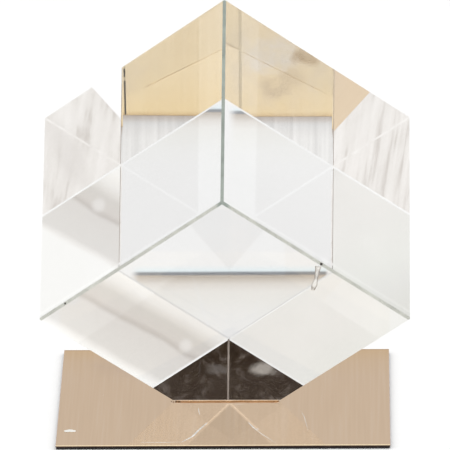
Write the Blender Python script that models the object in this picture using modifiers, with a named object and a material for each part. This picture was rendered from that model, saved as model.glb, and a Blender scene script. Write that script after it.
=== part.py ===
"""Clear crystal block standing on one cut-off corner, bonded to a thin bronze mirror plate.

Units are metres and +Z is up.  The origin lies on the surface that the object stands on,
straight below the block's upright body diagonal.  -Y is the front.
"""

import math

import bmesh
import bpy
from mathutils import Matrix, Vector

# Driving dimensions
BLOCK_EDGE = 0.100            # the cube that the block is ground from
BLOCK_BEVEL = 0.0009          # leg of the flat bevel along the cube's edges
BLOCK_TURN = math.radians(-0.3)   # how far off square to the plate the block was bonded
FOOT_CUT = 0.0173             # how much of the body diagonal the foot takes off
FOOT_BEVEL = 0.0002           # seam around the ground foot
BOND_THICKNESS = 0.0002       # clear film that holds the block
BOND_INSET = 0.0004           # the film stops this far inside the foot's outline
BOND_GAP = 0.0002             # clearance above and below the film
PLATE_WIDTH = 0.1268          # plate, left to right
PLATE_DEPTH = 0.1285          # plate, front to back
PLATE_CENTRE = (-0.0009, -0.0052)   # plate's middle, seen from the block's axis
PANE_THICKNESS = 0.0007       # bronze mirror pane
PANE_ARRIS = 0.00012          # softened edge of the pane
BACKING_THICKNESS = 0.0005    # black sheet below the pane
BACKING_INSET = 0.0002        # the backing stops this far inside the pane's outline
SHEET_GAP = 0.0003            # clearance between the backing and the pane

# Derived heights
PANE_BOTTOM = BACKING_THICKNESS + SHEET_GAP
PANE_TOP = PANE_BOTTOM + PANE_THICKNESS
BOND_BOTTOM = PANE_TOP + BOND_GAP
FOOT_HEIGHT = BOND_BOTTOM + BOND_THICKNESS + BOND_GAP

DOWN = Vector((0.0, 0.0, -1.0))
ON_PLANE = 1e-6               # a vertex this near a plane counts as lying on it


def clear_scene():
    """Remove every object that the file starts with."""
    for leftover in list(bpy.data.objects):
        bpy.data.objects.remove(leftover, do_unlink=True)


def make_collection(name):
    """Return a new collection linked to the scene."""
    collection = bpy.data.collections.new(name)
    bpy.context.scene.collection.children.link(collection)
    return collection


def make_material(name, colour, roughness, metallic=0.0, transmission=0.0, ior=1.5):
    """Return a Principled material in one finish."""
    material = bpy.data.materials.new(name)
    material.use_nodes = True
    shader = material.node_tree.nodes["Principled BSDF"]
    shader.inputs["Base Color"].default_value = (*colour, 1.0)
    shader.inputs["Roughness"].default_value = roughness
    shader.inputs["Metallic"].default_value = metallic
    shader.inputs["Transmission Weight"].default_value = transmission
    shader.inputs["IOR"].default_value = ior
    material.diffuse_color = (*colour, 1.0)
    return material


def add_object(name, bm, collection, material):
    """Write a bmesh to a named object in the collection."""
    bmesh.ops.recalc_face_normals(bm, faces=bm.faces[:])
    mesh = bpy.data.meshes.new(name)
    bm.to_mesh(mesh)
    bm.free()
    mesh.materials.append(material)
    part = bpy.data.objects.new(name, mesh)
    collection.objects.link(part)
    return part


def corner_down():
    """Return the turn that stands a cube on a corner, one edge from it rising to the rear."""
    columns = []
    rise = 1.0 / math.sqrt(3.0)
    reach = math.sqrt(2.0 / 3.0)
    for azimuth in (210.0, 330.0, 90.0):
        angle = math.radians(azimuth) + BLOCK_TURN
        columns.append(Vector((reach * math.cos(angle), reach * math.sin(angle), rise)))
    return Matrix(columns).transposed()


def flat_rim(bm, height):
    """Return the edges that lie in the level plane at this height."""
    return [edge for edge in bm.edges
            if all(abs(vert.co.z - height) < ON_PLANE for vert in edge.verts)]


def cut_below(bm, height):
    """Cut away everything below a level plane, close the cut, and return its edges."""
    geometry = bm.verts[:] + bm.edges[:] + bm.faces[:]
    bmesh.ops.bisect_plane(bm, geom=geometry, plane_co=(0.0, 0.0, height), plane_no=DOWN,
                           clear_outer=True)
    rim = flat_rim(bm, height)
    bmesh.ops.edgenet_fill(bm, edges=rim)
    return rim


def block_shape():
    """Return the bevelled cube on its corner, with the foot ground flat but not seamed."""
    half_diagonal = BLOCK_EDGE * math.sqrt(3.0) / 2.0
    centre = Vector((0.0, 0.0, FOOT_HEIGHT - FOOT_CUT + half_diagonal))
    bm = bmesh.new()
    bmesh.ops.create_cube(bm, size=BLOCK_EDGE)
    bmesh.ops.bevel(bm, geom=bm.edges[:], offset=BLOCK_BEVEL, offset_type="OFFSET",
                    segments=1, profile=0.5, affect="EDGES")
    bmesh.ops.transform(bm, matrix=Matrix.Translation(centre) @ corner_down().to_4x4(),
                        verts=bm.verts[:])
    return bm, cut_below(bm, FOOT_HEIGHT)


def build_crystal_block(collection):
    """The solid cube with flat bevels and a three-sided foot ground across one corner."""
    bm, rim = block_shape()
    bmesh.ops.bevel(bm, geom=rim, offset=FOOT_BEVEL, offset_type="OFFSET", segments=1,
                    profile=0.5, affect="EDGES")
    glass = make_material("clear_crystal", (0.96, 0.97, 0.96), 0.0, transmission=1.0, ior=1.54)
    return add_object("crystal_block", bm, collection, glass)


def build_foot_bond(collection):
    """The thin clear film between the block's foot and the pane, a scaled foot outline."""
    bm, rim = block_shape()
    outline = [vert.co.copy() for vert in {vert for edge in rim for vert in edge.verts}]
    bm.free()
    outline.sort(key=lambda point: math.atan2(point.y, point.x))
    reach = max(point.to_2d().length for point in outline)
    scale = (reach - 2.0 * BOND_INSET) / reach
    bm = bmesh.new()
    verts = [bm.verts.new((point.x * scale, point.y * scale, BOND_BOTTOM)) for point in outline]
    floor = bm.faces.new(verts)
    raised = bmesh.ops.extrude_face_region(bm, geom=[floor])["geom"]
    lifted = [item for item in raised if isinstance(item, bmesh.types.BMVert)]
    bmesh.ops.translate(bm, verts=lifted, vec=(0.0, 0.0, BOND_THICKNESS))
    film = make_material("clear_bond", (0.93, 0.92, 0.88), 0.05, transmission=1.0, ior=1.5)
    return add_object("foot_bond", bm, collection, film)


def build_sheet(name, collection, inset, bottom, thickness, arris, material):
    """A flat rectangular sheet of the plate, with its edges softened by a Bevel."""
    bm = bmesh.new()
    bmesh.ops.create_cube(bm, size=1.0)
    size = Vector((PLATE_WIDTH - 2.0 * inset, PLATE_DEPTH - 2.0 * inset, thickness))
    bmesh.ops.scale(bm, vec=size, verts=bm.verts[:])
    middle = Vector((*PLATE_CENTRE, bottom + thickness / 2.0))
    bmesh.ops.translate(bm, verts=bm.verts[:], vec=middle)
    sheet = add_object(name, bm, collection, material)
    bevel = sheet.modifiers.new("softened_edges", "BEVEL")
    bevel.width = arris
    bevel.segments = 2
    sheet.data.shade_smooth()
    sheet.data.set_sharp_from_angle(angle=math.radians(30.0))
    return sheet


def build_mirror_pane(collection):
    """The bronze mirror pane that the block stands on."""
    bronze = make_material("bronze_mirror", (0.66, 0.51, 0.36), 0.03, metallic=1.0)
    return build_sheet("mirror_pane", collection, 0.0, PANE_BOTTOM, PANE_THICKNESS,
                       PANE_ARRIS, bronze)


def build_backing_sheet(collection):
    """The black sheet under the pane, which the whole object rests on."""
    black = make_material("black_backing", (0.015, 0.013, 0.012), 0.85)
    return build_sheet("backing_sheet", collection, BACKING_INSET, 0.0, BACKING_THICKNESS,
                       PANE_ARRIS, black)


def main():
    """Build every piece of the sculpture."""
    clear_scene()
    pieces = make_collection("crystal_block_sculpture")
    build_crystal_block(pieces)
    build_foot_bond(pieces)
    build_mirror_pane(pieces)
    build_backing_sheet(pieces)


main()
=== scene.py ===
"""Looks for a crystal block that stands on one corner, on a bronze mirror plate with a soft backing."""

import math
import random

import bmesh
import bpy
from bpy.props import FloatProperty, FloatVectorProperty, IntProperty, PointerProperty
from mathutils import Matrix, Quaternion, Vector


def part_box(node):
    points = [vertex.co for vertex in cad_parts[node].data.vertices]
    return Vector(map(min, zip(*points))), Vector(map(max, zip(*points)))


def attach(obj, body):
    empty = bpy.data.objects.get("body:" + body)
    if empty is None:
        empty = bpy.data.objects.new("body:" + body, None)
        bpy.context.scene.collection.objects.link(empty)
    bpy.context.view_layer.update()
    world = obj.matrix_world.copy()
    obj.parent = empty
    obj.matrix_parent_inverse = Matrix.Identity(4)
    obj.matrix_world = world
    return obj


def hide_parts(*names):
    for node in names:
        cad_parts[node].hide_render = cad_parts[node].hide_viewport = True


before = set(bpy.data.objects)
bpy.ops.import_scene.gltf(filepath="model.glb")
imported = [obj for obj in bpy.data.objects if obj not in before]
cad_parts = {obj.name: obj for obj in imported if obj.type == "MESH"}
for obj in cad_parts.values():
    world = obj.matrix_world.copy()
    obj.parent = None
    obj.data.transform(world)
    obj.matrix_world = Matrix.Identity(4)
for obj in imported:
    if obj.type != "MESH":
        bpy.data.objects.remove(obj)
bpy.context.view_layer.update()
BLOCK_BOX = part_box("crystal_block")
PANE_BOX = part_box("mirror_pane")

bl_info = {
    "name": "Crystal Block Sculpture",
    "version": (1, 0, 0),
    "blender": (4, 5, 0),
    "location": "View3D > Sidebar > Crystal Block",
    "description": "Builds a crystal block on its bronze mirror plate, with its wear and its studio",
    "category": "Object",
}

BODY = "root"
MERGE = 1e-6                   # points this near each other are one point
FLAT = math.radians(0.2)       # faces that meet at less than this are one face
PANE_TOP = PANE_BOX[1][2]
FOOT_LEVEL = BLOCK_BOX[0][2]
LEAN = math.acos(1 / math.sqrt(3))   # from the upright to each edge that leaves the bottom corner


# ---------------------------------------------------------------- sizes and colours


class BlockSizes(bpy.types.PropertyGroup):
    """Shape and optics of the crystal block."""

    edge: FloatProperty(
        name="Edge", description="Length of the block's edges before they are chamfered",
        default=0.100, unit="LENGTH")
    front_chamfer: FloatProperty(
        name="Front chamfer", description="How far each ground edge is cut back along its two faces",
        default=0.0009, unit="LENGTH")
    rear_chamfer: FloatProperty(
        name="Rear chamfer", description="How far each polished edge is cut back along its two faces",
        default=0.0005, unit="LENGTH")
    foot_chamfer: FloatProperty(
        name="Foot chamfer", description="How far the foot's rim is cut back",
        default=0.0002, unit="LENGTH")
    foot_cut: FloatProperty(
        name="Foot cut", description="Height of the corner that is cut off to make the foot",
        default=0.0173, unit="LENGTH")
    turn: FloatProperty(
        name="Turn", description="Turn of the block about its upright diagonal",
        default=math.radians(-0.3), subtype="ANGLE", unit="ROTATION")
    refraction: FloatProperty(
        name="Refractive index", description="Refractive index of the crystal",
        default=1.537, min=1.0, max=3.0)
    clearness: FloatVectorProperty(
        name="Clearness", description="Colour that the crystal keeps over a long way through it",
        default=(0.922, 0.928, 0.918), subtype="COLOR", min=0.0, max=1.0)
    density: FloatProperty(
        name="Density", description="How fast the crystal takes light, for each metre",
        default=3.0, min=0.0)
    face_tint: FloatVectorProperty(
        name="Face tint", description="Colour that light keeps as it passes a polished face",
        default=(0.925, 0.925, 0.925), subtype="COLOR", min=0.0, max=1.0)
    arris_roughness: FloatProperty(
        name="Arris roughness", description="How matt the fine-ground rear chamfers are",
        default=0.02, min=0.0, max=1.0)
    # painted shade: the ground chamfer on the front upright edge is darker because of where it faces
    upright_arris_in_shade: FloatVectorProperty(
        name="Upright arris", description="Colour of the ground chamfer on the front upright edge",
        default=(0.34, 0.385, 0.345), subtype="COLOR", min=0.0, max=1.0)
    # painted light: the other outer ground chamfers are paler because of where they face
    side_arris_in_light: FloatVectorProperty(
        name="Side arris", description="Colour of the ground chamfers on the other outer edges",
        default=(0.60, 0.61, 0.55), subtype="COLOR", min=0.0, max=1.0)


class PlateSizes(bpy.types.PropertyGroup):
    """Shape and finish of the mirror plate."""

    arris: FloatProperty(
        name="Arris", description="Width of the polished bevel round the top of the pane",
        default=0.00025, unit="LENGTH")
    bronze: FloatVectorProperty(
        name="Bronze", description="Colour of the mirror seen from straight above",
        default=(0.92, 0.748, 0.49), subtype="COLOR", min=0.0, max=1.0)
    glancing: FloatVectorProperty(
        name="Glancing tint", description="Colour that dulls the mirror near a glancing view",
        default=(0.69, 0.60, 0.64), subtype="COLOR", min=0.0, max=1.0)
    edge_brown: FloatVectorProperty(
        name="Edge brown", description="Colour of the pane's cut edge",
        default=(0.045, 0.026, 0.018), subtype="COLOR", min=0.0, max=1.0)


class WearSizes(bpy.types.PropertyGroup):
    """Dust, chips and other traces of use."""

    speck_density: FloatProperty(
        name="Speck density", description="Dust specks on each square metre of a surface",
        default=700.0, min=0.0)
    speck_smallest: FloatProperty(
        name="Smallest speck", description="Radius of the smallest dust speck",
        default=0.00004, unit="LENGTH")
    speck_largest: FloatProperty(
        name="Largest speck", description="Radius of the largest dust speck",
        default=0.00012, unit="LENGTH")
    seed: IntProperty(
        name="Seed", description="Start of the random draws for the wear", default=7, min=0)


class StudioSizes(bpy.types.PropertyGroup):
    """Camera and studio light."""

    azimuth: FloatProperty(
        name="Azimuth", description="How far the camera stands to the right of the front",
        default=math.radians(0.735), subtype="ANGLE", unit="ROTATION")
    elevation: FloatProperty(
        name="Elevation", description="How far the camera looks down",
        default=math.radians(15.673), subtype="ANGLE", unit="ROTATION")
    roll: FloatProperty(
        name="Roll", description="Lean of the camera about its own view line",
        default=math.radians(-0.412), subtype="ANGLE", unit="ROTATION")
    distance: FloatProperty(
        name="Distance", description="From the camera to the point it looks at",
        default=3.9665, unit="LENGTH")
    aim: FloatVectorProperty(
        name="Aim", description="The point that the camera looks at",
        default=(-0.00034, -0.0052, 0.06997), subtype="XYZ", unit="LENGTH")
    lens: FloatProperty(
        name="Lens", description="Focal length on a 36 mm sensor", default=829.29)
    light: FloatProperty(
        name="Light", description="Strength of the light dome", default=1.02, min=0.0)


# ---------------------------------------------------------------- small helpers


def sizes_of(context, name):
    return getattr(context.scene, name)


def link(piece):
    bpy.context.scene.collection.objects.link(piece)
    return piece


def new_piece(name, bm, *materials):
    """Makes a mesh object at the origin from a bmesh, and frees the bmesh."""
    mesh = bpy.data.meshes.new(name)
    bm.to_mesh(mesh)
    bm.free()
    for material in materials:
        mesh.materials.append(material)
    return link(bpy.data.objects.new(name, mesh))


def closed_piece(name, bm, *materials):
    """Makes a mesh object from a closed bmesh, with its faces turned outwards."""
    bmesh.ops.recalc_face_normals(bm, faces=bm.faces)
    return new_piece(name, bm, *materials)


def add(tree, kind, inputs=None, **settings):
    """Adds a node. An input that is a socket is linked, and any other value is set."""
    node = tree.nodes.new(kind)
    for key, value in settings.items():
        setattr(node, key, value)
    for key, value in (inputs or {}).items():
        if isinstance(value, bpy.types.NodeSocket):
            tree.links.new(value, node.inputs[key])
        else:
            node.inputs[key].default_value = value
    return node


def shader_tree(name):
    """A new material with its node tree and its Principled shader."""
    material = bpy.data.materials.new(name)
    material.use_nodes = True
    tree = material.node_tree
    return material, tree, tree.nodes["Principled BSDF"]


def object_point(tree, scale=(1.0, 1.0, 1.0), turn=0.0):
    """Object coordinates, turned about Z and then stretched by scale."""
    coords = add(tree, "ShaderNodeTexCoord")
    turned = add(tree, "ShaderNodeVectorRotate", {"Vector": coords.outputs["Object"], "Angle": turn},
                 rotation_type="Z_AXIS")
    return add(tree, "ShaderNodeVectorMath", {0: turned.outputs["Vector"], 1: scale},
               operation="MULTIPLY").outputs["Vector"]


def noise(tree, point, scale, detail=3.0, roughness=0.5, distortion=0.0):
    return add(tree, "ShaderNodeTexNoise",
               {"Vector": point, "Scale": scale, "Detail": detail, "Roughness": roughness,
                "Distortion": distortion}).outputs["Fac"]


def fit(tree, value, low, high, to_low, to_high, smooth=False):
    """Maps low..high to to_low..to_high and clamps the rest."""
    kind = "SMOOTHSTEP" if smooth else "LINEAR"
    return add(tree, "ShaderNodeMapRange",
               {"Value": value, "From Min": low, "From Max": high, "To Min": to_low,
                "To Max": to_high}, interpolation_type=kind).outputs["Result"]


def calc(tree, operation, first, second=0.0):
    return add(tree, "ShaderNodeMath", {0: first, 1: second}, operation=operation).outputs["Value"]


def times(tree, first, second):
    return calc(tree, "MULTIPLY", first, second)


def scaled(tree, vector, gain):
    return add(tree, "ShaderNodeVectorMath", {0: vector, "Scale": gain},
               operation="SCALE").outputs["Vector"]


def blend_colour(tree, factor, first, second, kind="MIX"):
    node = tree.nodes.new("ShaderNodeMix")
    node.data_type = "RGBA"
    node.blend_type = kind
    for place, value in ((0, factor), (6, first), (7, second)):
        if isinstance(value, bpy.types.NodeSocket):
            tree.links.new(value, node.inputs[place])
        elif place == 0:
            node.inputs[place].default_value = value
        else:
            node.inputs[place].default_value = (*value, 1.0)
    return node.outputs[2]


def ramp(tree, value, stops):
    """A colour ramp from (position, (r, g, b)) stops."""
    node = add(tree, "ShaderNodeValToRGB", {"Fac": value})
    elements = node.color_ramp.elements
    while len(elements) > 1:
        elements.remove(elements[-1])
    elements[0].position = stops[0][0]
    elements[0].color = (*stops[0][1], 1.0)
    for position, colour in stops[1:]:
        elements.new(position).color = (*colour, 1.0)
    return node.outputs["Color"]


def place_ramp(tree, place, low, high, stops):
    """A colour ramp whose stops are places between low and high, in metres."""
    share = fit(tree, place, low, high, 0.0, 1.0)
    return ramp(tree, share, [((spot - low) / (high - low), shade) for spot, shade in stops])


def grey(level):
    return (level, level, level)


def separate(tree, vector):
    return add(tree, "ShaderNodeSeparateXYZ", {"Vector": vector}).outputs


def finish_piece(piece, slot, *nodes):
    """Rides the piece on the part and hides the parts that it stands for."""
    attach(piece, BODY)
    if nodes:
        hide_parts(*nodes)
    return piece


def merged_copy(node):
    """A bmesh of a CAD node with its loose triangles merged into flat faces."""
    bm = bmesh.new()
    bm.from_mesh(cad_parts[node].data)
    bmesh.ops.remove_doubles(bm, verts=bm.verts, dist=MERGE)
    bmesh.ops.dissolve_limit(bm, angle_limit=FLAT, verts=bm.verts, edges=bm.edges)
    bmesh.ops.recalc_face_normals(bm, faces=bm.faces)
    return bm


def applied(piece):
    """Applies the piece's modifiers and returns the same object with a plain mesh."""
    depsgraph = bpy.context.evaluated_depsgraph_get()
    mesh = bpy.data.meshes.new_from_object(piece.evaluated_get(depsgraph))
    mesh.name = piece.name
    piece.modifiers.clear()
    piece.data = mesh
    return piece


# ---------------------------------------------------------------- the block's own frame


class BlockFrame:
    """The cut corner below the foot, and the three edges that leave it."""

    def __init__(self, sizes):
        self.edge = sizes.edge
        self.front_chamfer = sizes.front_chamfer
        self.rear_chamfer = sizes.rear_chamfer
        self.foot_chamfer = sizes.foot_chamfer
        self.corner = Vector((0, 0, FOOT_LEVEL - sizes.foot_cut))
        self.axes = []
        for azimuth in (210, 330, 90):
            heading = math.radians(azimuth) + sizes.turn
            self.axes.append(Vector((math.sin(LEAN) * math.cos(heading),
                                     math.sin(LEAN) * math.sin(heading), math.cos(LEAN))))

    def at(self, left, right, back):
        """A point from its shares of the left, the right and the back edge."""
        shares = (left, right, back)
        return self.corner + sum((a * s * self.edge for a, s in zip(self.axes, shares)), Vector())

    def is_ground(self, face):
        """True for a face on one of the three chamfers that meet at the corner in front."""
        middle = face.calc_center_median() - self.corner
        left, right, back = [middle.dot(axis) / self.edge for axis in self.axes]
        margin = 1.1
        band = margin * self.front_chamfer / self.edge
        near = [left > 1 - band, right > 1 - band, back < band]
        return sum(near) > 1

    def chamfer_planes(self):
        """A point and an outward normal for the chamfer on each of the twelve edges."""
        for run in range(3):
            first, second = [k for k in range(3) if k != run]
            for ends in ((0, 0), (0, 1), (1, 0), (1, 1)):
                shares = [0.5] * 3
                shares[first], shares[second] = ends
                outward = (self.axes[first] * (2 * ends[0] - 1)
                           + self.axes[second] * (2 * ends[1] - 1)).normalized()
                front = (shares[0] == 1, shares[1] == 1, shares[2] == 0)
                width = self.front_chamfer if sum(front) > 1 else self.rear_chamfer
                yield self.at(*shares) - outward * width / math.sqrt(2), outward

    def is_polished(self, face):
        """True for a face that lies in one of the six sides or in the foot."""
        down, along, near = -0.999, 0.9999, 1e-5
        if face.normal.z < down:
            return True
        middle = face.calc_center_median() - self.corner
        for axis in self.axes:
            depth = middle.dot(axis)
            flat = abs(face.normal.dot(axis)) > along
            if flat and min(abs(depth), abs(depth - self.edge)) < near:
                return True
        return False


# ---------------------------------------------------------------- materials of the object


REAR_TINT_AND_SHADE = (
    # how far back on the pane, and what the mirror's colour is multiplied by there: painted shade that
    # warms and then browns the mirror towards its rear edge
    (0.0200, (1.0, 1.0, 1.0)), (0.0420, (1.0, 0.985, 0.94)), (0.0572, (0.99, 0.94, 0.80)),
    (0.0586, (0.78, 0.68, 0.52)), (0.0594, (0.66, 0.56, 0.46)),
)
MIRROR_BLOTCHES = (
    # the middle and radii on the pane, the strength, and the mirror's colour there
    ((-0.0160, 0.0420), (0.0420, 0.0290), 0.85, (0.80, 0.665, 0.48)),
    ((-0.0195, 0.0385), (0.0160, 0.0090), 0.95, (0.80, 0.73, 0.64)),
    ((-0.0075, 0.0403), (0.0066, 0.0048), 0.9, (0.50, 0.35, 0.19)),
    ((-0.0165, 0.0500), (0.0120, 0.0070), 0.7, (0.61, 0.47, 0.30)),
)


def crystal_material(sizes):
    """Clear crystal with faint wipe marks, a little matt where the arris attribute is 1."""
    material, tree, shader = shader_tree("clear_crystal")
    arris = add(tree, "ShaderNodeAttribute", attribute_name="arris").outputs["Fac"]
    wiped = noise(tree, object_point(tree, (1.0, 2.4, 0.8), 0.6), 34.0, 4.0, 0.6, 0.8)
    wipe = fit(tree, wiped, 0.57, 0.80, 0.0, 0.022)
    grain = noise(tree, object_point(tree), 2600.0, 2.0)
    ground = fit(tree, grain, 0.3, 0.7, sizes.arris_roughness * 0.75, sizes.arris_roughness * 1.25)
    rough = add(tree, "ShaderNodeMix", {0: arris, 2: wipe, 3: ground})
    tree.links.new(rough.outputs[0], shader.inputs["Roughness"])
    clear = noise(tree, object_point(tree), 60.0, 3.0)
    tree.links.new(blend_colour(tree, fit(tree, clear, 0.35, 0.65, 0.0, 1.0),
                                [c * 0.995 for c in sizes.face_tint],
                                [c * 1.005 for c in sizes.face_tint]), shader.inputs["Base Color"])
    shader.inputs["IOR"].default_value = sizes.refraction
    shader.inputs["Transmission Weight"].default_value = 1.0
    body = add(tree, "ShaderNodeVolumeAbsorption",
               {"Color": (*sizes.clearness, 1.0), "Density": sizes.density})
    tree.links.new(body.outputs["Volume"], tree.nodes["Material Output"].inputs["Volume"])
    return material


def ground_and_shade_material(sizes):
    """Ground glass for the outer chamfers, with painted shade that makes the upright one darker, and
    painted light that makes them pale from inside the block.
    """
    material, tree, shader = shader_tree("ground_arris_and_shade")
    point = object_point(tree)
    off_middle = calc(tree, "ABSOLUTE", separate(tree, point)["X"])
    # painted shade: darker on the upright chamfer in the middle, paler on the chamfers to the sides
    colour = blend_colour(tree, fit(tree, off_middle, 0.0016, 0.0030, 0.0, 1.0),
                          sizes.upright_arris_in_shade, sizes.side_arris_in_light)
    shade = fit(tree, noise(tree, point, 130.0, 4.0, 0.6), 0.35, 0.65, 0.82, 1.12)
    pits = fit(tree, noise(tree, point, 1500.0, 2.0), 0.30, 0.42, 0.75, 1.0)
    worn_and_shaded = scaled(tree, colour, times(tree, shade, pits))
    # painted light: the ground chamfers are pale where they are seen from inside the block
    inside = add(tree, "ShaderNodeNewGeometry").outputs["Backfacing"]
    tree.links.new(blend_colour(tree, inside, worn_and_shaded, (0.93, 0.93, 0.92)), shader.inputs["Base Color"])
    shader.inputs["Roughness"].default_value = 0.42
    shader.inputs["IOR"].default_value = sizes.refraction
    return material


def glue_material():
    """Clear set adhesive with fine ripples."""
    material, tree, shader = shader_tree("clear_adhesive")
    ripple = noise(tree, object_point(tree), 700.0, 3.0)
    tree.links.new(fit(tree, ripple, 0.3, 0.7, 0.02, 0.16), shader.inputs["Roughness"])
    shade = fit(tree, noise(tree, object_point(tree), 160.0), 0.35, 0.65, 0.0, 1.0)
    tree.links.new(blend_colour(tree, shade, (0.90, 0.74, 0.56), (0.80, 0.60, 0.40)),
                   shader.inputs["Base Color"])
    shader.inputs["IOR"].default_value = 1.48
    shader.inputs["Transmission Weight"].default_value = 1.0
    return material


def mirror_material(sizes):
    """Bronze mirror with fine streaks, painted shade that makes it warmer and then browner to the rear,
    and a brown cut edge.
    """
    material, tree, shader = shader_tree("bronze_mirror")
    edge = add(tree, "ShaderNodeAttribute", attribute_name="cut_edge").outputs["Fac"]
    fine = noise(tree, object_point(tree, (950.0, 14.0, 1.0)), 1.0, 3.0, 0.5)
    broad = noise(tree, object_point(tree, (150.0, 12.0, 1.0)), 1.0, 2.0)
    streak = calc(tree, "ADD", times(tree, fine, 0.8), times(tree, broad, 0.2))
    bronze = sizes.bronze
    top = ramp(tree, streak, [(0.36, [c * 0.97 for c in bronze]), (0.5, bronze),
                              (0.64, (bronze[0] * 1.02, bronze[1] * 1.04, bronze[2] * 1.08))])
    point = object_point(tree)
    # painted shade: the mirror's colour is warmed and then browned towards the rear edge
    rear = place_ramp(tree, separate(tree, point)["Y"], 0.02, 0.06, REAR_TINT_AND_SHADE)
    top = blend_colour(tree, 1.0, top, rear, "MULTIPLY")
    bent = add(tree, "ShaderNodeTexNoise", {"Vector": point, "Scale": 120.0}).outputs["Color"]
    wavy = add(tree, "ShaderNodeVectorMath", {0: bent, 1: (0.008, 0.008, 0.0), 2: point},
               operation="MULTIPLY_ADD").outputs["Vector"]
    cloud = fit(tree, noise(tree, point, 170.0, 5.0, 0.62), 0.32, 0.66, 0.25, 1.0)
    # paler and darker cloudy blotches mixed into the mirror's colour
    for centre, radii, strength, tone in MIRROR_BLOTCHES:
        blotch = times(tree, blob(tree, wavy, centre, radii), strength)
        top = blend_colour(tree, times(tree, blotch, cloud), top, tone)
    shade = fit(tree, noise(tree, object_point(tree), 300.0, 4.0), 0.35, 0.65, 0.0, 1.0)
    brown = blend_colour(tree, shade, sizes.edge_brown, [c * 2.1 for c in sizes.edge_brown])
    tree.links.new(blend_colour(tree, edge, top, brown), shader.inputs["Base Color"])
    polish = fit(tree, streak, 0.3, 0.7, 0.006, 0.018)
    rough = add(tree, "ShaderNodeMix", {0: edge, 2: polish, 3: 0.34})
    tree.links.new(rough.outputs[0], shader.inputs["Roughness"])
    tree.links.new(calc(tree, "SUBTRACT", 1.0, edge), shader.inputs["Metallic"])
    shader.inputs["Specular Tint"].default_value = (*sizes.glancing, 1.0)
    return material


def backing_material():
    """Black felt with a fine nap."""
    material, tree, shader = shader_tree("black_felt")
    nap = noise(tree, object_point(tree), 2400.0, 4.0, 0.7)
    tree.links.new(ramp(tree, nap, [(0.3, (0.006, 0.005, 0.005)), (0.7, (0.035, 0.030, 0.028))]),
                   shader.inputs["Base Color"])
    shader.inputs["Roughness"].default_value = 0.95
    shader.inputs["Sheen Weight"].default_value = 0.15
    bump = add(tree, "ShaderNodeBump", {"Height": nap, "Strength": 0.5, "Distance": 0.0002})
    tree.links.new(bump.outputs["Normal"], shader.inputs["Normal"])
    return material


def speck_material(name, dark, light):
    """Matt dust, drops and lines whose colour varies from speck to speck; the pale lines on the pane are
    partly painted reflection.
    """
    material, tree, shader = shader_tree(name)
    shade = fit(tree, noise(tree, object_point(tree), 400.0), 0.35, 0.65, 0.0, 1.0)
    tree.links.new(blend_colour(tree, shade, dark, light), shader.inputs["Base Color"])
    shader.inputs["Roughness"].default_value = 0.8
    return material


# ---------------------------------------------------------------- the block


def cut_away(bm, point, normal):
    """Cuts off all that lies beyond the plane, and closes the cut with one face."""
    geometry = bm.verts[:] + bm.edges[:] + bm.faces[:]
    cut = bmesh.ops.bisect_plane(bm, geom=geometry, dist=MERGE, plane_co=point, plane_no=normal,
                                 clear_outer=True)
    rim = [item for item in cut["geom_cut"] if isinstance(item, bmesh.types.BMEdge)]
    bmesh.ops.edgeloop_fill(bm, edges=rim)


def chamfered_block(block):
    """A cube on its corner, cut flat for the foot, with a chamfer on every edge."""
    bm = bmesh.new()
    bmesh.ops.create_cube(bm, size=block.edge)
    turned = Matrix(block.axes).transposed().to_4x4()
    bmesh.ops.transform(bm, matrix=Matrix.Translation(block.at(0.5, 0.5, 0.5)) @ turned, verts=bm.verts)
    for point, normal in block.chamfer_planes():
        cut_away(bm, point, normal)
    foot = Vector((0, 0, FOOT_LEVEL))
    cut_away(bm, foot, Vector((0, 0, -1)))
    for axis in block.axes:
        side = -axis
        reach = (block.corner - foot).dot(side) / math.sin(LEAN)
        rim = foot + Vector((side.x, side.y, 0)).normalized() * reach
        outward = (side + Vector((0, 0, -1))).normalized()
        cut_away(bm, rim - outward * block.foot_chamfer * math.sin(LEAN / 2), outward)
    bmesh.ops.recalc_face_normals(bm, faces=bm.faces)
    return bm


CHIPS = (
    # the edge's two ends, how far along it the chip lies, and its radius
    ((1, 1, 1), (1, 1, 0), 0.24, 0.00040),
    ((1, 1, 1), (1, 1, 0), 0.375, 0.00036),
    ((1, 1, 1), (1, 1, 0), 0.62, 0.00030),
    ((1, 1, 0), (0, 1, 0), 0.527, 0.00062),
    ((1, 1, 0), (0, 1, 0), 0.058, 0.00040),
    ((1, 1, 0), (1, 0, 0), 0.861, 0.00046),
)


def add_rough_ball(bm, centre, radius, draws):
    """A small faceted ball whose corners are pushed in and out."""
    made = bmesh.ops.create_icosphere(bm, subdivisions=2, radius=1.0)
    for vert in made["verts"]:
        vert.co = centre + vert.co * radius * draws.uniform(0.82, 1.18)


def chip_cutters(block, draws):
    """Small balls that bite into the chamfers."""
    depth = 0.8 * block.front_chamfer / math.sqrt(2)
    bm = bmesh.new()
    for start, end, share, radius in CHIPS:
        first, last = block.at(*start), block.at(*end)
        inward = block.at(0.5, 0.5, 0.5) - first.lerp(last, 0.5)
        centre = first.lerp(last, share) + inward.normalized() * depth
        add_rough_ball(bm, centre, radius, draws)
    return new_piece("chip_cutters", bm)


def mark_faces(piece, name, test):
    """Stores 1 on the faces that pass the test and 0 on the others."""
    bm = bmesh.new()
    bm.from_mesh(piece.data)
    layer = bm.faces.layers.float.new(name)
    for face in bm.faces:
        face[layer] = 1.0 if test(face) else 0.0
    bm.to_mesh(piece.data)
    bm.free()


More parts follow.
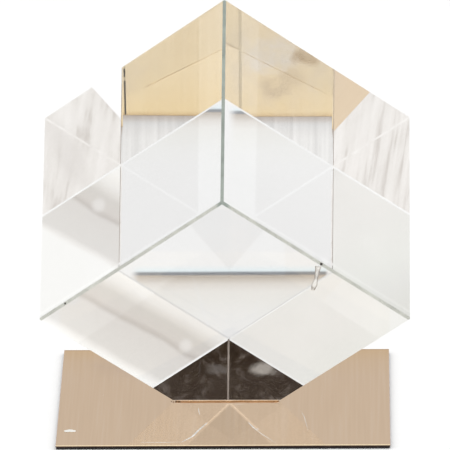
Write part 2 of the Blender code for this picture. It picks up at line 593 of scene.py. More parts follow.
class CRYSTAL_OT_make_block(bpy.types.Operator):
    """Make the chamfered crystal block with small chips along its edges"""

    bl_idname = "crystal.make_block"
    bl_label = "Crystal Block"

    fewest_faces = 21

    def execute(self, context):
        sizes = sizes_of(context, "block_sizes")
        block = BlockFrame(sizes)
        draws = random.Random(sizes_of(context, "wear_sizes").seed)
        piece = new_piece("crystal", chamfered_block(block), crystal_material(sizes))
        cutters = chip_cutters(block, draws)
        cut = piece.modifiers.new("chips", "BOOLEAN")
        cut.operation = "DIFFERENCE"
        cut.solver = "EXACT"
        cut.object = cutters
        applied(piece)
        bpy.data.objects.remove(cutters)
        mark_faces(piece, "arris", lambda face: not block.is_polished(face))
        self.grind_and_shade(piece, block, ground_and_shade_material(sizes))
        if len(piece.data.polygons) < self.fewest_faces:
            raise RuntimeError("the chips took the block away")
        piece.visible_shadow = False
        piece.visible_diffuse = False
        finish_piece(piece, "crystal", "crystal_block")
        return {"FINISHED"}

    def grind_and_shade(self, piece, block, material):
        """Gives the outer chamfers and the chips in them the ground finish, with its painted shade and
        light.
        """
        piece.data.materials.append(material)
        bm = bmesh.new()
        bm.from_mesh(piece.data)
        for face in bm.faces:
            if not block.is_polished(face) and block.is_ground(face):
                face.material_index = 1
        bm.to_mesh(piece.data)
        bm.free()


# ---------------------------------------------------------------- the bond


class CRYSTAL_OT_make_bond(bpy.types.Operator):
    """Make the film of clear adhesive between the block's foot and the plate"""

    bl_idname = "crystal.make_bond"
    bl_label = "Foot Bond"

    clearance = 0.00005
    overflow = 0.00035
    bulge = 1.012
    neck = 0.995
    steps_per_side = 24

    def execute(self, context):
        draws = random.Random(sizes_of(context, "wear_sizes").seed + 1)
        rim = self.rim_points(draws)
        low = PANE_TOP + self.clearance
        high = FOOT_LEVEL - self.clearance
        levels = ((low, 1.0), ((low + high) / 2, self.bulge), (high, self.neck))
        bm = bmesh.new()
        loops = [[bm.verts.new((x * grow, y * grow, z)) for x, y in rim] for z, grow in levels]
        bm.faces.new(list(reversed(loops[0])))
        bm.faces.new(loops[-1])
        for lower, upper in zip(loops, loops[1:]):
            for i in range(len(rim)):
                j = (i + 1) % len(rim)
                bm.faces.new((lower[i], lower[j], upper[j], upper[i])).material_index = 1
        rim_glue = speck_material("cured_rim", (0.62, 0.42, 0.26), (0.78, 0.57, 0.38))
        piece = closed_piece("bond_film", bm, glue_material(), rim_glue)
        finish_piece(piece, "bond", "foot_bond")
        return {"FINISHED"}

    def rim_points(self, draws):
        """The foot's outline, swollen a little where the adhesive was squeezed out."""
        source = merged_copy("foot_bond")
        top = max(source.faces, key=lambda face: face.normal.z * face.calc_area())
        corners = [vert.co.xy for vert in top.verts]
        source.free()
        phases = [draws.uniform(0, math.tau) for _ in range(3)]
        points = []
        for i, first in enumerate(corners):
            last = corners[(i + 1) % len(corners)]
            for step in range(self.steps_per_side):
                point = first.lerp(last, step / self.steps_per_side)
                angle = math.atan2(point.y, point.x)
                wave = sum(math.sin(k * angle + p) for k, p in zip((3, 7, 13), phases)) / 3
                points.append(point * (1 + self.overflow * wave / point.length))
        return [(p.x, p.y) for p in points]


# ---------------------------------------------------------------- the plate


class CRYSTAL_OT_make_plate(bpy.types.Operator):
    """Make the bronze mirror pane with its bevelled rim, and finish its black backing"""

    bl_idname = "crystal.make_plate"
    bl_label = "Mirror Plate"

    steepest_top = 0.3

    def execute(self, context):
        sizes = sizes_of(context, "plate_sizes")
        low, high = Vector(PANE_BOX[0]), Vector(PANE_BOX[1])
        bm = bmesh.new()
        bmesh.ops.create_cube(bm, size=1.0)
        bmesh.ops.scale(bm, vec=high - low, verts=bm.verts)
        bmesh.ops.translate(bm, vec=(high + low) / 2, verts=bm.verts)
        rim = [edge for edge in bm.edges if all(v.co.z > high.z - MERGE for v in edge.verts)]
        bmesh.ops.bevel(bm, geom=rim, offset=sizes.arris, segments=2, profile=0.6, affect="EDGES")
        piece = closed_piece("bronze_pane", bm, mirror_material(sizes))
        mark_faces(piece, "cut_edge", lambda face: face.normal.z < self.steepest_top)
        finish_piece(piece, "bronze_mirror", "mirror_pane")
        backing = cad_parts["backing_sheet"]
        backing.data.materials.clear()
        backing.data.materials.append(backing_material())
        return {"FINISHED"}


# ---------------------------------------------------------------- wear


LONGEST_GRAIN = 2.6            # length of the longest grain over its width
GRAIN_HEIGHT = 0.5             # height of a grain over its width


def scatter_tree(name):
    """Geometry nodes that strew small flattened grains over a surface."""
    tree = bpy.data.node_groups.new(name, "GeometryNodeTree")
    face = tree.interface
    face.new_socket("Geometry", in_out="INPUT", socket_type="NodeSocketGeometry")
    for label, kind in (("Density", "NodeSocketFloat"), ("Smallest", "NodeSocketFloat"),
                        ("Largest", "NodeSocketFloat"), ("Seed", "NodeSocketInt"),
                        ("Material", "NodeSocketMaterial")):
        face.new_socket(label, in_out="INPUT", socket_type=kind)
    face.new_socket("Geometry", in_out="OUTPUT", socket_type="NodeSocketGeometry")
    given = add(tree, "NodeGroupInput").outputs
    points = add(tree, "GeometryNodeDistributePointsOnFaces",
                 {"Mesh": given["Geometry"], "Density": given["Density"], "Seed": given["Seed"]})
    grain = add(tree, "GeometryNodeMeshIcoSphere", {"Radius": 1.0, "Subdivisions": 1})
    radius = add(tree, "FunctionNodeRandomValue",
                 {2: given["Smallest"], 3: given["Largest"], "Seed": given["Seed"]}).outputs[1]
    length = add(tree, "FunctionNodeRandomValue",
                 {2: 1.0, 3: LONGEST_GRAIN, "Seed": 3}).outputs[1]
    scale = add(tree, "ShaderNodeCombineXYZ",
                {"X": times(tree, radius, length), "Y": radius,
                 "Z": times(tree, radius, GRAIN_HEIGHT)})
    strewn = add(tree, "GeometryNodeInstanceOnPoints",
                 {"Points": points.outputs["Points"], "Instance": grain.outputs["Mesh"],
                  "Rotation": points.outputs["Rotation"], "Scale": scale.outputs["Vector"]})
    real = add(tree, "GeometryNodeRealizeInstances", {"Geometry": strewn.outputs["Instances"]})
    painted = add(tree, "GeometryNodeSetMaterial",
                  {"Geometry": real.outputs["Geometry"], "Material": given["Material"]})
    add(tree, "NodeGroupOutput", {0: painted.outputs["Geometry"]})
    return tree


def strew(name, tree, bm, **values):
    """Strews grains over the bmesh and returns them as one plain piece."""
    piece = new_piece(name, bm)
    modifier = piece.modifiers.new("grains", "NODES")
    modifier.node_group = tree
    for item in tree.interface.items_tree:
        if item.in_out == "INPUT" and item.name in values:
            modifier[item.identifier] = values[item.name]
    return applied(piece)


def ribbon(bm, points, widths, normal, height):
    """A thin tapered sliver along a few points, standing height proud of its surface."""
    rings = []
    for i, point in enumerate(points):
        ahead = points[min(i + 1, len(points) - 1)] - points[max(i - 1, 0)]
        side = ahead.cross(normal).normalized() * widths[i] / 2
        rings.append([bm.verts.new(point + side), bm.verts.new(point + normal * height),
                      bm.verts.new(point - side)])
    for first, last in zip(rings, rings[1:]):
        for j in range(3):
            k = (j + 1) % 3
            bm.faces.new((first[j], first[k], last[k], last[j]))
    bm.faces.new(rings[0])
    bm.faces.new(list(reversed(rings[-1])))


SCRATCHES_AND_REFLECTED_LINES = (
    # points on the pane, and the line's width at its widest: the first four draw a V that runs down to
    # the front edge and along it, a painted reflection of the block's edges in the mirror, and the rest
    # are scratches
    (((-0.0321, -0.0655), (-0.0240, -0.0658), (-0.0165, -0.0652)), 0.0004),
    (((-0.0165, -0.0652), (-0.0126, -0.0581), (-0.0097, -0.0477), (-0.0072, -0.0400)), 0.0009),
    (((0.0085, -0.0400), (0.0105, -0.0466), (0.0120, -0.0510)), 0.0006),
    (((0.0120, -0.0510), (0.0140, -0.0558), (0.0190, -0.0670)), 0.0003),
    (((-0.0108, -0.0205), (-0.0106, -0.0250), (-0.0102, -0.0300)), 0.0003),
    (((0.0285, -0.0250), (0.0298, -0.0330), (0.0312, -0.0500)), 0.0002),
    (((0.0030, -0.0160), (0.0046, -0.0158), (0.0062, -0.0162)), 0.0002),
)


class CRYSTAL_OT_add_wear(bpy.types.Operator):
    """Add dust, dark fill in the chips, scratches and painted reflected lines, a bruise by the right
    edge, a pale drop, and crumbs at the foot
    """

    bl_idname = "crystal.add_wear"
    bl_label = "Dust and Wear"

    facing_up = 0.9
    bruise_shares = ((0.476, 0.982), (0.452, 0.952), (0.428, 0.921), (0.408, 0.892), (0.389, 0.865))
    bruise_widths = (0.0018, 0.0011, 0.0009, 0.0017, 0.0007)
    bruise_height = 0.00016
    bruise_rim = 0.0006
    bruise_rim_height = 0.00006
    darkened_chip_size = 0.00045
    dark_fill_depth = 0.0006
    dark_fill_share = 0.8
    drop_centre = (-0.0593, -0.0504)
    drop_radii = (0.0023, 0.0016, 0.00022)
    drop_lift = 0.00006
    pale_line_height = 0.00004
    pale_line_taper = 0.6
    crumb_count = 7
    crumb_start = (-0.0215, -0.0119)
    crumb_end = (-0.0178, -0.0119)
    crumb_spread = (-0.0006, 0.0004)
    crumb_radii = (0.00012, 0.00026)
    crumb_lift = 0.8

    def execute(self, context):
        wear = sizes_of(context, "wear_sizes")
        block = BlockFrame(sizes_of(context, "block_sizes"))
        tree = scatter_tree("strewn_grains")
        lint_and_reflection = speck_material("pale_lint_and_reflection", (0.62, 0.60, 0.56), (0.92, 0.91, 0.88))
        crumb = speck_material("brown_crumbs", (0.10, 0.05, 0.025), (0.28, 0.16, 0.08))
        self.add_dust(wear, tree, lint_and_reflection)
        self.add_bruise(block, lint_and_reflection)
        self.add_pale_drop(wear)
        self.add_crumbs(wear, crumb)
        self.add_scratches_and_reflections(lint_and_reflection)
        # a dark fill that makes the two largest chips look black
        chip_dark_fill = speck_material("dark_chip_fill", (0.01, 0.008, 0.006), (0.06, 0.05, 0.04))
        self.add_chip_darkening(wear, block, chip_dark_fill)
        return {"FINISHED"}

    def add_dust(self, wear, tree, lint_and_reflection):
        values = {"Density": wear.speck_density, "Smallest": wear.speck_smallest,
                  "Largest": wear.speck_largest, "Material": lint_and_reflection}
        on_block = strew("dust_on_block", tree, merged_copy("crystal_block"),
                         Seed=wear.seed, **values)
        finish_piece(on_block, "crystal")
        bm = merged_copy("mirror_pane")
        below = [face for face in bm.faces if face.normal.z < self.facing_up]
        bmesh.ops.delete(bm, geom=below, context="FACES")
        on_plate = strew("dust_on_plate", tree, bm, Seed=wear.seed + 1, **values)
        finish_piece(on_plate, "bronze_mirror")

    def add_bruise(self, block, material):
        """A pale bruise that runs from the right edge into the front face, with a shaded rim."""
        shade = speck_material("bruise_shade", (0.34, 0.30, 0.27), (0.58, 0.55, 0.52))
        points = [block.at(left, right, 0) for left, right in self.bruise_shares]
        for name, extra, height, look in (
                ("edge_bruise", 0.0, self.bruise_height, material),
                ("edge_bruise_rim", self.bruise_rim, self.bruise_rim_height, shade)):
            bm = bmesh.new()
            widths = [width + extra for width in self.bruise_widths]
            ribbon(bm, points, widths, -block.axes[2], height)
            finish_piece(closed_piece(name, bm, look), "crystal")

    def add_chip_darkening(self, wear, block, material):
        """Dark balls that sit in the two largest chips."""
        draws = random.Random(wear.seed + 4)
        bm = bmesh.new()
        for start, end, share, radius in CHIPS:
            if radius > self.darkened_chip_size:
                spot = block.at(*start).lerp(block.at(*end), share)
                inward = (block.at(0.5, 0.5, 0.5) - spot).normalized()
                add_rough_ball(bm, spot + inward * self.dark_fill_depth, radius * self.dark_fill_share,
                               draws)
        finish_piece(closed_piece("chip_dark_balls", bm, material), "crystal")

    def add_pale_drop(self, wear):
        """A flat drop with a wavy outline."""
        draws = random.Random(wear.seed + 2)
        # a matt, pale, flat drop on the plate near its front left corner
        material = speck_material("matt_pale_drop", (0.80, 0.79, 0.74), (0.95, 0.94, 0.90))
        bm = bmesh.new()
        bmesh.ops.create_uvsphere(bm, u_segments=28, v_segments=10, radius=1.0)
        phase = draws.uniform(0, math.tau)
        for vert in bm.verts:
            angle = math.atan2(vert.co.y, vert.co.x)
            wave = 1 + 0.10 * math.sin(3 * angle + phase) + 0.05 * math.sin(5 * angle)
            vert.co = Vector((self.drop_centre[0] + vert.co.x * self.drop_radii[0] * wave,
                              self.drop_centre[1] + vert.co.y * self.drop_radii[1] * wave,
                              PANE_TOP + self.drop_lift + vert.co.z * self.drop_radii[2]))
        finish_piece(closed_piece("flat_pale_drop", bm, material), "bond")

    def add_scratches_and_reflections(self, material):
        """Fine pale lines on the pane, each thinner towards its ends: scratches, and a V of painted
        reflection.
        """
        bm = bmesh.new()
        for spots, widest in SCRATCHES_AND_REFLECTED_LINES:
            points = [Vector((x, y, PANE_TOP)) for x, y in spots]
            middle = (len(points) - 1) / 2
            widths = [widest * (1 - self.pale_line_taper * abs(i - middle) / middle)
                      for i in range(len(points))]
            ribbon(bm, points, widths, Vector((0, 0, 1)), self.pale_line_height)
        finish_piece(closed_piece("pane_scratches_and_reflections", bm, material), "bronze_mirror")

    def add_crumbs(self, wear, material):
        """Crumbs of old adhesive in a row beside the foot."""
        draws = random.Random(wear.seed + 3)
        bm = bmesh.new()
        start, end = Vector(self.crumb_start), Vector(self.crumb_end)
        for _ in range(self.crumb_count):
            spot = start.lerp(end, draws.random())
            radius = draws.uniform(*self.crumb_radii)
            centre = Vector((spot.x, spot.y + draws.uniform(*self.crumb_spread),
                             PANE_TOP + radius * self.crumb_lift))
            add_rough_ball(bm, centre, radius, draws)
        finish_piece(closed_piece("foot_crumbs", bm, material), "bond")


# ---------------------------------------------------------------- studio


GROUND = -0.0002               # the floor, a hair below the plate
PAPER_LEVEL = GROUND + 0.0001
FLOOR_REACH = 20.0
FLAG_HEIGHT = 1.5
SCREEN_LIGHT = 1.025           # how much light the studio's screens give

DOME_FRONT = 1.18
DOME_BELOW_FRONT = (0.24, 0.17, 0.13)
DOME_SIDE_STOPS = (
    # how high in the dome, and how bright it is there
    (0.0, 0.78), (0.31, 0.78), (0.37, 0.93), (0.50, 1.02), (0.62, 1.08), (1.0, 1.09),
)
DOME_REAR_STOPS = ((0.30, 0.78), (0.42, 0.84), (0.62, 0.92))
FOLD_SHADE_STOPS = (
    # how far back on the paper, and its colour there: the plate's painted shade, even paper, and the
    # painted shade of a soft fold, darkest in a thin line
    (0.0590, (0.52, 0.46, 0.41)), (0.0600, (0.58, 0.51, 0.46)), (0.0612, (0.73, 0.71, 0.69)),
    (0.0625, (0.80, 0.795, 0.79)), (0.0645, (0.86, 0.845, 0.83)), (0.068, (0.925, 0.915, 0.90)),
    (0.085, (0.945, 0.94, 0.93)), (0.10, (0.965, 0.965, 0.967)), (0.236, (0.972, 0.972, 0.972)),
    (0.262, (0.965, 0.965, 0.955)), (0.282, (0.945, 0.94, 0.915)), (0.296, (0.93, 0.915, 0.885)),
    (0.3065, (0.84, 0.80, 0.755)), (0.3190, (0.54, 0.47, 0.40)), (0.3205, (0.26, 0.27, 0.29)),
    (0.3235, (0.26, 0.28, 0.31)), (0.3260, (0.86, 0.96, 1.0)), (0.335, (0.975, 0.975, 0.975)),
)
BAND_STOPS = (
    # how far across the banded screen, and its colour there
    (-0.075, (1.09, 1.08, 1.05)), (-0.072, (1.06, 1.04, 1.0)), (-0.068, (0.98, 0.96, 0.93)),
    (-0.065, (0.88, 0.85, 0.81)), (-0.0625, (0.77, 0.74, 0.70)), (-0.057, (0.78, 0.74, 0.70)),
    (-0.0545, (0.66, 0.62, 0.585)), (-0.0525, (0.84, 0.81, 0.78)), (-0.038, (0.87, 0.85, 0.82)),
    (-0.0355, (1.05, 1.03, 1.0)), (-0.034, (1.12, 1.12, 1.10)),
)
PALE_STOPS = (
    # how far across the pale screen, and its colour there
    (0.004, (0.86, 0.86, 0.82)), (0.014, (0.90, 0.90, 0.87)), (0.026, (0.95, 0.955, 0.915)),
    (0.05, (0.965, 0.95, 0.92)), (0.07, (0.955, 0.94, 0.91)), (0.077, (0.91, 0.90, 0.87)),
)
FLAG_HAZE_GLOWS = (
    # the middle and radii on the dark flag, the strength, and the colour there: pale patches of light
    # that paint the dust haze seen in the dark facets
    ((0.0108, 0.1493), (0.0090, 0.0052), 0.90, (0.46, 0.42, 0.38)),
    ((0.0341, 0.1490), (0.0082, 0.0042), 0.45, (0.22, 0.20, 0.19)),
)
FLAG_SLITS = (
    # the two sides of each thin line across the dark flag, and its colour: thin lines of light that
    # paint the two pale lines in the dark facets
    (-0.0256, -0.0246, (0.34, 0.28, 0.25)),
    (-0.0240, -0.0230, (0.80, 0.70, 0.62)),
)


def light_material(name):
    """A bare tree with an output, for a card that only gives light."""
    material = bpy.data.materials.new(name)
    material.use_nodes = True
    tree = material.node_tree
    tree.nodes.clear()
    return material, tree, add(tree, "ShaderNodeOutputMaterial")


def shine(tree, output, colour, opacity):
    """Gives light where opacity is 1 and lets the studio through where it is 0."""
    clear = add(tree, "ShaderNodeBsdfTransparent")
    glow = add(tree, "ShaderNodeEmission", {"Color": colour, "Strength": SCREEN_LIGHT})
    mixed = add(tree, "ShaderNodeMixShader",
                {0: opacity, 1: clear.outputs["BSDF"], 2: glow.outputs["Emission"]})
    tree.links.new(mixed.outputs["Shader"], output.inputs["Surface"])


def soft_window(tree, value, low, high, fade):
    """1 between low and high, falling to 0 over the fade outside."""
    rise = fit(tree, value, low - fade, low, 0.0, 1.0, True)
    fall = fit(tree, value, high, high + fade, 1.0, 0.0, True)
    return times(tree, rise, fall)


def soft_rectangle(tree, part, across, along, fade):
    """1 inside the rectangle from across[0] to across[1] in X and along in Y, with a soft rim."""
    return times(tree, soft_window(tree, part["X"], *across, fade),
                 soft_window(tree, part["Y"], *along, fade))


def blob(tree, point, centre, radii):
    """1 at the centre, falling to 0 at about the radii."""
    moved = add(tree, "ShaderNodeVectorMath", {0: point, 1: (*centre, 0.0)}, operation="SUBTRACT")
    shrunk = add(tree, "ShaderNodeVectorMath",
                 {0: moved.outputs["Vector"], 1: (1 / radii[0], 1 / radii[1], 0.0)},
                 operation="MULTIPLY")
    reach = add(tree, "ShaderNodeVectorMath", {0: shrunk.outputs["Vector"]}, operation="LENGTH")
    return fit(tree, reach.outputs["Value"], 0.35, 1.0, 1.0, 0.0, True)


def make_card(name, matrix, half_width, half_height, material):
    """A card that only the crystal and the mirror see."""
    bm = bmesh.new()
    bmesh.ops.create_grid(bm, x_segments=1, y_segments=1, size=1.0)
    bmesh.ops.scale(bm, vec=(half_width, half_height, 1.0), verts=bm.verts)
    card = new_piece(name, bm, material)
    card.matrix_world = matrix
    card.visible_camera = False
    card.visible_diffuse = False
    card.visible_shadow = False


def facing(direction, distance):
    """A card's matrix: X to the right and Y up for someone who looks along the direction."""
    ahead = Vector(direction).normalized()
    right = ahead.cross(Vector((0, 0, 1))).normalized()
    up = right.cross(ahead)
    turn = Matrix((right, up, -ahead)).transposed().to_4x4()
    return Matrix.Translation(ahead * distance) @ turn


class CRYSTAL_OT_make_studio(bpy.types.Operator):
    """Set up the camera, the light dome, the pale floor and the cards that the crystal shows"""

    bl_idname = "crystal.make_studio"
    bl_label = "Studio"

    def execute(self, context):
        sizes = sizes_of(context, "studio_sizes")
        self.set_quality(context.scene)
        self.make_camera(context.scene, sizes)
        self.make_dome(context.scene, sizes)
        self.make_floor()
        self.make_paper()
        self.make_band_card()
        self.make_pale_card()
        self.make_patches()
        self.make_dark_flag()
        return {"FINISHED"}

    def set_quality(self, scene):
        """Many bounces, because light turns many times inside the block."""
        scene.view_settings.view_transform = "Standard"
        scene.cycles.max_bounces = 160
        scene.cycles.transmission_bounces = 160
        scene.cycles.glossy_bounces = 16
        scene.cycles.transparent_max_bounces = 64
        scene.cycles.caustics_refractive = True
        scene.cycles.caustics_reflective = True
        scene.cycles.use_denoising = True
        scene.cycles.denoising_input_passes = "RGB"

    def make_camera(self, scene, sizes):
        back = Vector((math.sin(sizes.azimuth) * math.cos(sizes.elevation),
                       -math.cos(sizes.azimuth) * math.cos(sizes.elevation),
                       math.sin(sizes.elevation)))
        data = bpy.data.cameras.new("studio_camera")
        camera = link(bpy.data.objects.new("studio_camera", data))
        data.lens = sizes.lens
        data.sensor_width = 36.0
        data.clip_start = 0.1
        data.clip_end = 100.0
        camera.rotation_mode = "QUATERNION"
        camera.location = Vector(sizes.aim) + back * sizes.distance
        level = (-back).to_track_quat("-Z", "Y")
        camera.rotation_quaternion = Quaternion(back, sizes.roll) @ level
        scene.camera = camera

    def make_dome(self, scene, sizes):
        """A white dome: dimmer near the ground, bright behind the camera, and dark below that."""
        world = bpy.data.worlds.new("studio_dome")
        scene.world = world
        world.use_nodes = True
        tree = world.node_tree
        coords = add(tree, "ShaderNodeTexCoord")
        way = separate(tree, coords.outputs["Generated"])
        sides = ramp(tree, way["Z"], [(z, grey(level)) for z, level in DOME_SIDE_STOPS])
        rear = fit(tree, way["Y"], 0.35, 0.6, 0.0, 1.0, True)
        front = fit(tree, way["Y"], -0.32, -0.70, 0.0, 1.0, True)
        behind = ramp(tree, way["Z"], [(z, grey(level)) for z, level in DOME_REAR_STOPS])
        low_front = times(tree, fit(tree, way["Y"], -0.80, -0.93, 0.0, 1.0, True),
                          fit(tree, way["Z"], 0.30, 0.37, 1.0, 0.0, True))
        colour = blend_colour(tree, rear, sides, behind)
        colour = blend_colour(tree, front, colour, grey(DOME_FRONT))
        colour = blend_colour(tree, low_front, colour, DOME_BELOW_FRONT)
        background = tree.nodes["Background"]
        tree.links.new(colour, background.inputs["Color"])
        background.inputs["Strength"].default_value = sizes.light

    def make_floor(self):
        bm = bmesh.new()
        bmesh.ops.create_grid(bm, x_segments=1, y_segments=1, size=FLOOR_REACH)
        material, tree, shader = shader_tree("pale_paper")
        fibre = noise(tree, object_point(tree), 40.0, 5.0, 0.6)
        tree.links.new(ramp(tree, fibre, [(0.3, (0.975, 0.975, 0.972)), (0.7, (0.995, 0.995, 0.993))]),
                       shader.inputs["Base Color"])
        shader.inputs["Roughness"].default_value = 1.0
        shader.inputs["Specular IOR Level"].default_value = 0.0
        floor = new_piece("studio_floor", bm, material)
        floor.location.z = GROUND

    def make_paper(self):
        """The paper under and behind the block as a glowing card with painted shade, as only the crystal
        and the mirror show it.
        """
        material, tree, output = light_material("streaked_paper")
        point = object_point(tree)
        part = separate(tree, point)
        colour = blend_colour(tree, self.beside(tree, part["X"]), self.paper_behind(tree, part),
                              self.paper_beside(tree, point))
        shine(tree, output, colour, soft_rectangle(tree, part, (-0.20, 0.20), (-0.09, 0.44), 0.02))
        make_card("studio_paper", Matrix.Translation((0, 0, PAPER_LEVEL)), 0.23, 0.47, material)

    def beside(self, tree, across):
        """1 on the paper to the left and right of the plate, and 0 in the middle."""
        return fit(tree, calc(tree, "ABSOLUTE", across), 0.052, 0.060, 0.0, 1.0, True)

    def paper_beside(self, tree, point):
        """Warm grey streaks that run to the left and right."""
        streak = noise(tree, object_point(tree, (13.0, 150.0, 1.0), 0.2), 1.0, 5.0, 0.62)
        cloud = noise(tree, point, 45.0, 3.0)
        streak = calc(tree, "ADD", times(tree, streak, 0.75), times(tree, cloud, 0.25))
        pale = ramp(tree, streak, [(0.38, (0.76, 0.715, 0.675)), (0.46, (0.945, 0.91, 0.875)),
                                   (0.60, (1.04, 1.01, 0.98))])
        dull = blob(tree, point, (0.128, -0.024), (0.022, 0.020))
        return blend_colour(tree, times(tree, dull, 0.6), pale, (0.84, 0.80, 0.77))

    def paper_behind(self, tree, part):
        """Paper in the plate's painted shade, then even paper, then the painted shade of a soft fold,
        darkest in a thin line.
        """
        # painted shade: behind the plate, and along the soft fold with its dark line
        fold_shaded = place_ramp(tree, part["Y"], 0.05, 0.35, FOLD_SHADE_STOPS)
        along = noise(tree, object_point(tree, (420.0, 9.0, 1.0)), 1.0, 4.0, 0.6)
        near = fit(tree, part["Y"], 0.09, 0.12, 1.0, 0.0, True)
        streak = fit(tree, along, 0.3, 0.7, -0.13, 0.13)
        fold_shaded = scaled(tree, fold_shaded, calc(tree, "ADD", times(tree, streak, near), 1.0))
        far = fit(tree, part["Y"], 0.19, 0.23, 0.0, 1.0, True)
        inside = times(tree, fit(tree, part["X"], -0.0435, -0.0385, 0.0, 1.0, True),
                       fit(tree, part["X"], 0.0370, 0.0390, 1.0, 0.0, True))
        outside = times(tree, far, calc(tree, "SUBTRACT", 1.0, inside))
        return blend_colour(tree, outside, fold_shaded, grey(0.972))

    def make_band_card(self):
        """A pale screen to the right rear with soft upright bands."""
        material, tree, output = light_material("banded_screen")
        point = object_point(tree)
        part = separate(tree, point)
        wave = times(tree, calc(tree, "SUBTRACT", noise(tree, point, 45.0), 0.5), 0.004)
        across = calc(tree, "ADD", part["X"], wave)
        colour = place_ramp(tree, across, -0.080, 0.010, BAND_STOPS)
        spot = times(tree, blob(tree, point, (-0.0573, 0.0266), (0.0048, 0.0042)), 0.35)
        colour = blend_colour(tree, spot, colour, (1.12, 1.12, 1.11))
        shine(tree, output, colour, soft_rectangle(tree, part, (-0.09, 0.02), (-0.03, 0.12), 0.03))
        make_card("studio_banded_screen", facing((0.783, 0.49, 0.385), 1.0), 0.16, 0.16, material)

    def make_pale_card(self):
        """An even pale screen to the left rear."""
        material, tree, output = light_material("pale_screen")
        point = object_point(tree)
        part = separate(tree, point)
        cloud = fit(tree, noise(tree, point, 30.0, 2.0), 0.3, 0.7, 0.975, 1.025)
        colour = scaled(tree, place_ramp(tree, part["X"], 0.0, 0.08, PALE_STOPS), cloud)
        shine(tree, output, colour, soft_rectangle(tree, part, (-0.01, 0.085), (-0.01, 0.10), 0.03))
        make_card("studio_pale_screen", facing((-0.778, 0.518, 0.357), 1.0), 0.13, 0.14, material)

    def make_patches(self):
        """Small soft screens, each of which only one part of the block or the mirror shows."""
        # fills the mirror's inner strip
        self.make_patch("studio_bright_patch", "bright_patch",
                        Matrix.Translation((0.425, -0.205, PAPER_LEVEL)), (0.05, 0.06), 0.04,
                        (grey(1.13), grey(1.19)))
        # whitens the mirror's left rear corner
        self.make_patch("studio_cool_screen", "cool_screen", facing((0.765, -0.543, 0.346), 1.0),
                        (0.075, 0.075), 0.03, ((1.48, 1.90, 2.75), (1.54, 1.96, 2.85)))
        # evens the mirror's image just right of the block's upright front edge
        self.make_patch("studio_side_screen", "side_screen",
                        facing((0.865, 0.418, 0.279), 1.0) @ Matrix.Translation((0.007, 0.145, 0.0)),
                        (0.035, 0.035), 0.02, ((1.02, 1.01, 0.97), (1.05, 1.04, 1.00)))

    def make_patch(self, name, look, place, half, blur, tones):
        """A screen of two close tones that reaches half to each side, and fades over the blur."""
        material, tree, output = light_material(look)
        point = object_point(tree)
        part = separate(tree, point)
        cloud = fit(tree, noise(tree, point, 12.0, 2.0), 0.3, 0.7, 0.0, 1.0)
        colour = blend_colour(tree, cloud, *tones)
        across, along = [(-reach, reach) for reach in half]
        shine(tree, output, colour, soft_rectangle(tree, part, across, along, blur))
        make_card(name, place, half[0] + blur, half[1] + blur, material)

    def make_dark_flag(self):
        """A dark flag high above, which makes the dark facets over the foot."""
        material, tree, output = light_material("dark_flag")
        point = object_point(tree)
        part = separate(tree, point)
        mottle = noise(tree, point, 120.0, 5.0, 0.65, 0.6)
        colour = ramp(tree, mottle, [(0.34, (0.008, 0.003, 0.001)), (0.52, (0.026, 0.017, 0.012)),
                                     (0.66, (0.150, 0.125, 0.112))])
        dots = fit(tree, noise(tree, point, 900.0, 1.0), 0.72, 0.78, 0.0, 0.5)
        colour = blend_colour(tree, dots, colour, (0.55, 0.54, 0.50))
        bent = add(tree, "ShaderNodeTexNoise", {"Vector": point, "Scale": 160.0}).outputs["Color"]
        wavy = add(tree, "ShaderNodeVectorMath", {0: point, 1: scaled(tree, bent, 0.006)},
                   operation="ADD").outputs["Vector"]
        nearer = fit(tree, part["Y"], 0.138, 0.152, 1.0, 0.0, True)
        colour = blend_colour(tree, times(tree, nearer, 0.35), colour, (0.055, 0.040, 0.033))
        # painted light: pale patches on the flag that show as haze in the dark facets
        for centre, radii, strength, shade in FLAG_HAZE_GLOWS:
            patch = times(tree, blob(tree, wavy, centre, radii), strength)
            colour = blend_colour(tree, patch, colour, shade)
        # painted highlight: thin lines on the flag that show as the two pale lines in the dark facets
        for low, high, shade in FLAG_SLITS:
            slit = times(tree, soft_window(tree, part["X"], low, high, 0.0001),
                         soft_window(tree, part["Y"], 0.12, 0.16, 0.004))
            colour = blend_colour(tree, slit, colour, shade)
        front = fit(tree, part["Y"], -0.086, -0.080, 0.0, 1.0, True)
        inside = times(tree, soft_window(tree, part["X"], -0.13, 0.13, 0.02), front)
        back = fit(tree, part["Y"], 0.22, 0.25, 1.0, 0.0, True)
        shine(tree, output, colour, times(tree, inside, back))
        make_card("studio_dark_flag", Matrix.Translation((0, 0, FLAG_HEIGHT)), 0.2, 0.3, material)


# ---------------------------------------------------------------- panel and run


class CRYSTAL_PT_panel(bpy.types.Panel):
    """Lists the steps that build the sculpture"""

    bl_label = "Crystal Block"
    bl_idname = "CRYSTAL_PT_panel"
    bl_space_type = "VIEW_3D"
    bl_region_type = "UI"
    bl_category = "Crystal Block"

    def draw(self, context):
        for step in STEPS:
            self.layout.operator(step.bl_idname)


STEPS = (CRYSTAL_OT_make_studio, CRYSTAL_OT_make_block, CRYSTAL_OT_make_bond,
         CRYSTAL_OT_make_plate, CRYSTAL_OT_add_wear)
SIZE_GROUPS = (("block_sizes", BlockSizes), ("plate_sizes", PlateSizes), ("wear_sizes", WearSizes),
               ("studio_sizes", StudioSizes))


def register():
    for name, group in SIZE_GROUPS:
        bpy.utils.register_class(group)
        setattr(bpy.types.Scene, name, PointerProperty(type=group))
    for step in STEPS:
        bpy.utils.register_class(step)
    bpy.utils.register_class(CRYSTAL_PT_panel)


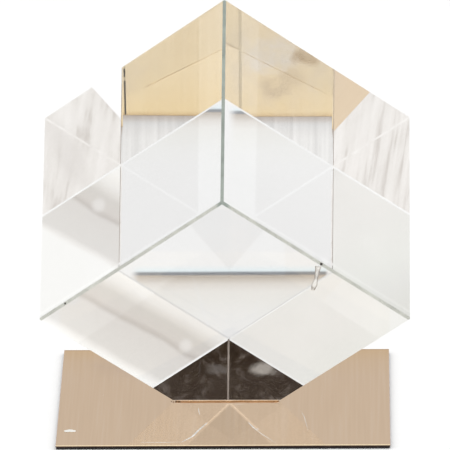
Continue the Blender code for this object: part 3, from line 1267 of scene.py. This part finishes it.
def unregister():
    bpy.utils.unregister_class(CRYSTAL_PT_panel)
    for step in reversed(STEPS):
        bpy.utils.unregister_class(step)
    for name, group in reversed(SIZE_GROUPS):
        delattr(bpy.types.Scene, name)
        bpy.utils.unregister_class(group)


def main():
    register()
    bpy.ops.crystal.make_studio()
    bpy.ops.crystal.make_block()
    bpy.ops.crystal.make_bond()
    bpy.ops.crystal.make_plate()
    bpy.ops.crystal.add_wear()


if __name__ == "__main__":
    main()
